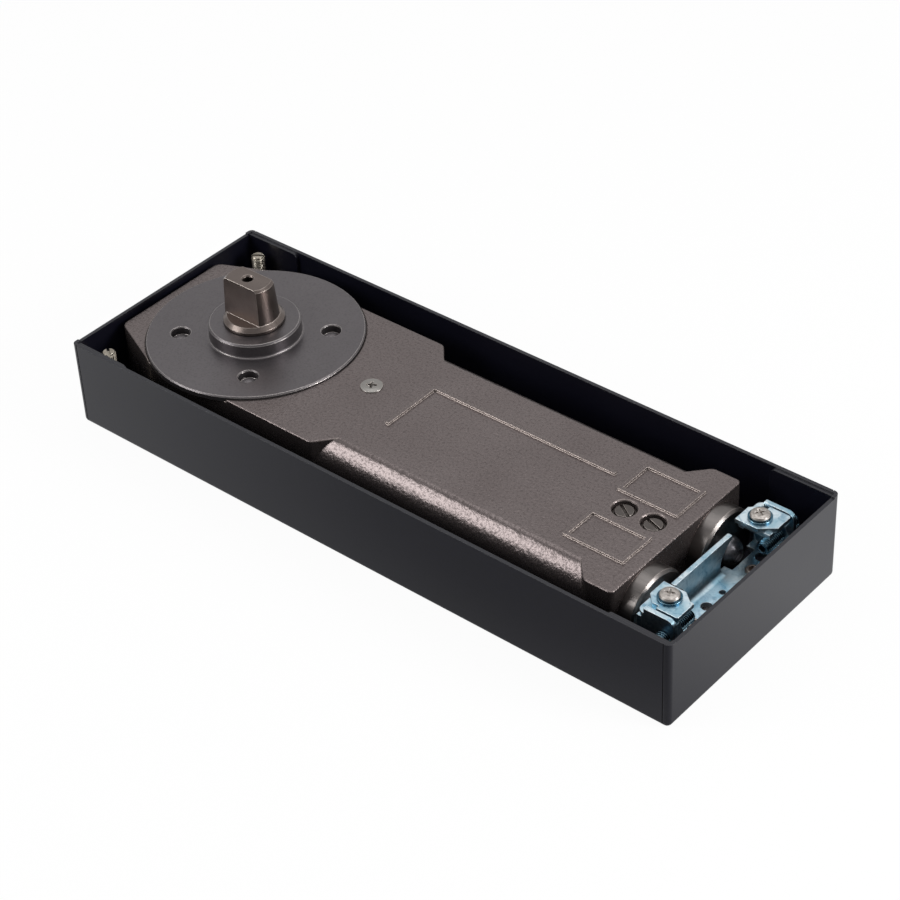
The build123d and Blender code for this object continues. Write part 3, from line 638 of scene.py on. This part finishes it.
# A stud along +Z from 0 to its length, with a 60 degree thread cut along a true helix
def threadedStud(name, look):
    radius, pitch, length = look["radius"] * mm, look["pitch"] * mm, look["length"] * mm
    depth = 0.54 * pitch  # of a metric thread
    weld = 1e-7
    # Along one pitch: how far along, and the share of the depth that is cut there
    profile = ((0.0, 0.0), (0.06, 0.0), (0.42, 1.0), (0.58, 1.0), (0.94, 0.0))
    around, rows = look["around"], len(profile)
    turns = int(length / pitch) + 3  # with spare turns, which are cut off at the ends
    made = bmesh.new()
    columns = []
    for j in range(around):
        turn = j / around
        column = []
        for i in range(turns * rows):
            share, cut = profile[i % rows]
            r = radius - depth * cut
            height = (i // rows + share + turn - 1) * pitch
            across, along = r * cos(2 * pi * turn), r * sin(2 * pi * turn)
            column.append(made.verts.new((across, along, height)))
        columns.append(column)
    for j in range(around):
        low, high = columns[j], columns[(j + 1) % around]
        step = rows if j == around - 1 else 0
        for i in range(turns * rows - 1 - step):
            made.faces.new((low[i + step], high[i], high[i + 1], low[i + step + 1]))
    for height, outward in ((0.0, -1), (length, 1)):
        bmesh.ops.bisect_plane(
            made,
            geom=made.verts[:] + made.edges[:] + made.faces[:],
            plane_co=(0, 0, height),
            plane_no=(0, 0, outward),
            clear_outer=True,
        )
    bmesh.ops.remove_doubles(made, verts=made.verts[:], dist=weld)
    bmesh.ops.holes_fill(made, edges=[edge for edge in made.edges if edge.is_boundary])
    bevel = look["chamfer"] * mm
    for vert in made.verts:
        away = min(vert.co.z, length - vert.co.z)
        limit = radius - max(0.0, bevel - away)
        flat = Vector((vert.co.x, vert.co.y, 0))
        if flat.length > limit:
            flat *= limit / flat.length
            vert.co.x, vert.co.y = flat.x, flat.y
    bmesh.ops.recalc_face_normals(made, faces=made.faces[:])
    mesh = bpy.data.meshes.new(name)
    made.to_mesh(mesh)
    made.free()
    obj = bpy.data.objects.new(name, mesh)
    bpy.context.scene.collection.objects.link(obj)
    return obj


# Cuts a closed form out of a piece and keeps the result as the piece's mesh
def cutOut(obj, made):
    mesh = bpy.data.meshes.new(obj.name + "Cutter")
    made.to_mesh(mesh)
    made.free()
    cutter = bpy.data.objects.new(mesh.name, mesh)
    bpy.context.scene.collection.objects.link(cutter)
    cut = obj.modifiers.new("cut", "BOOLEAN")
    cut.operation, cut.solver, cut.object = "DIFFERENCE", "EXACT", cutter
    bpy.context.view_layer.update()
    shown = obj.evaluated_get(bpy.context.evaluated_depsgraph_get())
    result = bpy.data.meshes.new_from_object(shown)
    obj.modifiers.clear()
    obj.data = result
    bpy.data.objects.remove(cutter)


# Levelling screws: long slotted studs, threaded all the way
levelScrew = {
    "radius": 3.0,
    "pitch": 1.0,
    "chamfer": 0.7,
    "around": 36,
    "slotWidth": 1.2,
    "slotDepth": 1.6,
    "slotTurn": 35,
}
for side, sign in (("front", -1), ("rear", 1)):
    low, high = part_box("level_screw_" + side)
    height = high.z - low.z
    look = {**levelScrew, "length": height / mm}
    stud = threadedStud("levelStud_" + side, look)
    slot = bmesh.new()
    bmesh.ops.create_cube(slot, size=1)
    # Longer than the stud is wide, and half of its height lies above the stud's end
    slotSize = (4 * look["radius"] * mm, look["slotWidth"] * mm, 2 * look["slotDepth"] * mm)
    size = Matrix.Diagonal((*slotSize, 1))
    spin = Matrix.Rotation(radians(look["slotTurn"] * sign), 4, "Z")
    turned = Matrix.Translation((0, 0, height)) @ spin
    bmesh.ops.transform(slot, matrix=turned @ size, verts=slot.verts)
    cutOut(stud, slot)
    centre = (low + high) / 2
    stud.data.transform(Matrix.Translation((centre.x, centre.y, low.z)))
    stud.data.materials.clear()
    stud.data.materials.append(paleNickel)
    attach(stud, "level_adjuster_" + side)
    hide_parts("level_screw_" + side)
print("stage: levelling screws")


# Side screws: threaded grub screws whose hexagon sockets face the middle of the box
sideScrew = {
    "radius": 3.0,
    "pitch": 1.0,
    "chamfer": 0.7,
    "around": 36,
    "keyAcross": 3.0,
    "keyDepth": 3.0,
}
for side, sign in (("front", -1), ("rear", 1)):
    low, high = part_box("side_screw_" + side)
    look = {**sideScrew, "length": (high.y - low.y) / mm}
    stud = threadedStud("sideStud_" + side, look)
    key = bmesh.new()
    keyRadius = look["keyAcross"] / 2 / cos(pi / 6) * mm
    bmesh.ops.create_cone(
        key,
        cap_ends=True,
        segments=6,
        radius1=keyRadius,
        radius2=keyRadius,
        depth=2 * look["keyDepth"] * mm,
    )
    bmesh.ops.translate(key, vec=(0, 0, high.y - low.y), verts=key.verts)
    cutOut(stud, key)
    centre = (low + high) / 2
    outerEnd = high.y if sign > 0 else low.y
    lie = Matrix.Rotation(radians(90 * sign), 4, "X")
    stud.data.transform(Matrix.Translation((centre.x, outerEnd, centre.z)) @ lie)
    stud.data.materials.clear()
    stud.data.materials.append(darkZinc)
    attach(stud, "side_adjuster_" + side)
    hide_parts("side_screw_" + side)
print("stage: side screws")


# Closing springs: each spring's mesh is copied into an object of its own, and the part is
# hidden
for side in ("front", "rear"):
    low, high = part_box("closing_spring_" + side)
    wound = nodes["closing_spring_" + side].data.copy()
    coils = bpy.data.objects.new("springCoils_" + side, wound)
    bpy.context.scene.collection.objects.link(coils)
    centre = (low + high) / 2
    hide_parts("closing_spring_" + side)
    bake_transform(coils)
print("stage: closing springs")


# The matt white floor keeps a faint shadow. A glossy surface mirrors it with a painted
# shade round the front right corner, so that the near wall fades from left to right
def paleFloor():
    floor = {
        "pale": "#f1f1f1",
        "paler": "#f6f6f6",
        "cloud": 400,
        "half": 3.0,
        "squares": 6,
        "drop": 0.2,
        "shown": 0.95,
        "shade": (0.17, -0.26, 0),
        "shadeStretch": (1, 2, 1),
        "shadeReach": (0.11, 0.35),
        "shadeStrength": (0.26, 1.0),
    }
    made = bmesh.new()
    squares = floor["squares"]
    bmesh.ops.create_grid(made, x_segments=squares, y_segments=squares, size=floor["half"])
    mesh = bpy.data.meshes.new("floor")
    made.to_mesh(mesh)
    made.free()
    obj = bpy.data.objects.new("floor", mesh)
    obj.location = (0, 0, -floor["drop"] * mm)
    bpy.context.scene.collection.objects.link(obj)
    material, tree, place = startMaterial("paleFloor")
    cloud = addNode(tree, "TexNoise", inputs={
        "Vector": place,
        "Scale": perLump(floor["cloud"]),
    })
    color = addNode(tree, "Mix", inColor, {
        0: cloud.outputs["Fac"],
        6: floor["pale"],
        7: floor["paler"],
    })
    matt = addNode(tree, "BsdfDiffuse", inputs={"Color": color.outputs[2]})
    white = addNode(tree, "Emission", inputs={"Color": "#ffffff", "Strength": 1.0})
    spread = addNode(tree, "Mapping", inputs={
        "Vector": place,
        "Scale": floor["shadeStretch"],
    })
    away = addNode(tree, "VectorMath", {"operation": "DISTANCE"}, {
        0: spread.outputs["Vector"],
        1: floor["shade"],
    })
    nearShade, pastShade = floor["shadeReach"]
    dim, full = floor["shadeStrength"]
    dimmed = addNode(tree, "MapRange", inputs={
        "Value": away.outputs["Value"],
        "From Min": nearShade,
        "From Max": pastShade,
        "To Min": dim,
        "To Max": full,
    })
    # Painted shade: what glossy rays see of the floor, dimmed round the shade's centre
    mirrored = addNode(tree, "Emission", inputs={
        "Color": "#ffffff",
        "Strength": dimmed.outputs["Result"],
    })
    path = addNode(tree, "LightPath")
    share = addNode(tree, "Math", {"operation": "MULTIPLY"}, {
        0: path.outputs["Is Camera Ray"],
        1: floor["shown"],
    })
    seen = addNode(tree, "MixShader", inputs={
        0: share.outputs[0],
        1: matt.outputs[0],
        2: white.outputs[0],
    })
    both = addNode(tree, "MixShader", inputs={
        0: path.outputs["Is Glossy Ray"],
        1: seen.outputs[0],
        2: mirrored.outputs[0],
    })
    addNode(tree, "OutputMaterial", inputs={"Surface": both.outputs[0]})
    mesh.materials.append(material)


# What glossy surfaces mirror of the studio is brightest at the back and above, and
# dimmer in front
def studioWorld():
    studio = {
        "fill": 0.38,
        "shown": 1.0,
        "bright": (-0.41, 0.77, 0.5),
        "gradeFrom": -0.1,
        "dim": 0.34,
        "most": 0.8,
    }
    world = bpy.data.worlds.new("studio")
    bpy.context.scene.world = world
    world.use_nodes = True
    tree = world.node_tree
    tree.nodes.clear()
    path = addNode(tree, "LightPath")
    heading = addNode(tree, "TexCoord").outputs["Generated"]
    toward = addNode(tree, "VectorMath", {"operation": "DOT_PRODUCT"}, {
        0: heading,
        1: studio["bright"],
    })
    graded = addNode(tree, "MapRange", inputs={
        "Value": toward.outputs["Value"],
        "From Min": studio["gradeFrom"],
        "From Max": 1.0,
        "To Min": studio["dim"],
        "To Max": studio["most"],
    })
    seen = addNode(tree, "Math", {"operation": "MAXIMUM"}, {
        0: path.outputs["Is Camera Ray"],
        1: path.outputs["Is Transmission Ray"],
    })
    fill = addNode(tree, "Background", inputs={
        "Color": "#ffffff",
        "Strength": studio["fill"],
    })
    mirrored = addNode(tree, "Background", inputs={
        "Color": "#ffffff",
        "Strength": graded.outputs["Result"],
    })
    shown = addNode(tree, "Background", inputs={
        "Color": "#ffffff",
        "Strength": studio["shown"],
    })
    unseen = addNode(tree, "MixShader", inputs={
        0: path.outputs["Is Glossy Ray"],
        1: fill.outputs[0],
        2: mirrored.outputs[0],
    })
    both = addNode(tree, "MixShader", inputs={
        0: seen.outputs[0],
        1: unseen.outputs[0],
        2: shown.outputs[0],
    })
    addNode(tree, "OutputWorld", inputs={"Surface": both.outputs[0]})


lamps = {
    "overhead": {"place": (0.05, 0.25, 1.15), "size": (1.2, 0.8), "power": 3.5},
    "frontLeft": {"place": (-0.5, -0.82, 0.58), "size": (0.6, 0.55), "power": 5.5},
    "right": {"place": (1.1, 0.3, 0.5), "size": (0.4, 0.5), "power": 9},
}
lampTarget = Vector((0.1, 0, 0.03))  # the middle of the closer


def addLamp(name, look):
    data = bpy.data.lights.new(name, "AREA")
    data.shape = "RECTANGLE"
    data.size, data.size_y = look["size"]
    data.energy = look["power"]
    obj = bpy.data.objects.new(name, data)
    obj.location = look["place"]
    aim = lampTarget - obj.location
    obj.rotation_euler = aim.to_track_quat("-Z", "Y").to_euler()
    bpy.context.scene.collection.objects.link(obj)


# The photograph's viewpoint, worked out from the box's corners
def addCamera():
    shot = {
        "place": (0.62807, -0.58145, 0.63248),
        "azimuth": 41.97,
        "elevation": 37.84,
        "roll": -3.03,
        "lens": 99.69,
        "sensor": 36,
        "clip": 0.01,
    }
    azimuth, elevation = radians(shot["azimuth"]), radians(shot["elevation"])
    roll = radians(shot["roll"])
    ahead = Vector((
        -sin(azimuth) * cos(elevation),
        cos(azimuth) * cos(elevation),
        -sin(elevation),
    ))
    level = ahead.cross(Vector((0, 0, 1))).normalized()
    rise = level.cross(ahead)
    right = level * cos(roll) + rise * sin(roll)
    up = right.cross(ahead)
    facing = Matrix((right, up, -ahead)).transposed().to_4x4()
    data = bpy.data.cameras.new("camera")
    data.sensor_width = shot["sensor"]
    data.lens = shot["lens"]
    data.clip_start = shot["clip"]
    obj = bpy.data.objects.new("camera", data)
    obj.matrix_world = Matrix.Translation(shot["place"]) @ facing
    bpy.context.scene.collection.objects.link(obj)
    bpy.context.scene.camera = obj


paleFloor()
studioWorld()
for name, look in lamps.items():
    addLamp(name, look)
addCamera()
bpy.context.scene.view_settings.view_transform = "Standard"
print("stage: studio")
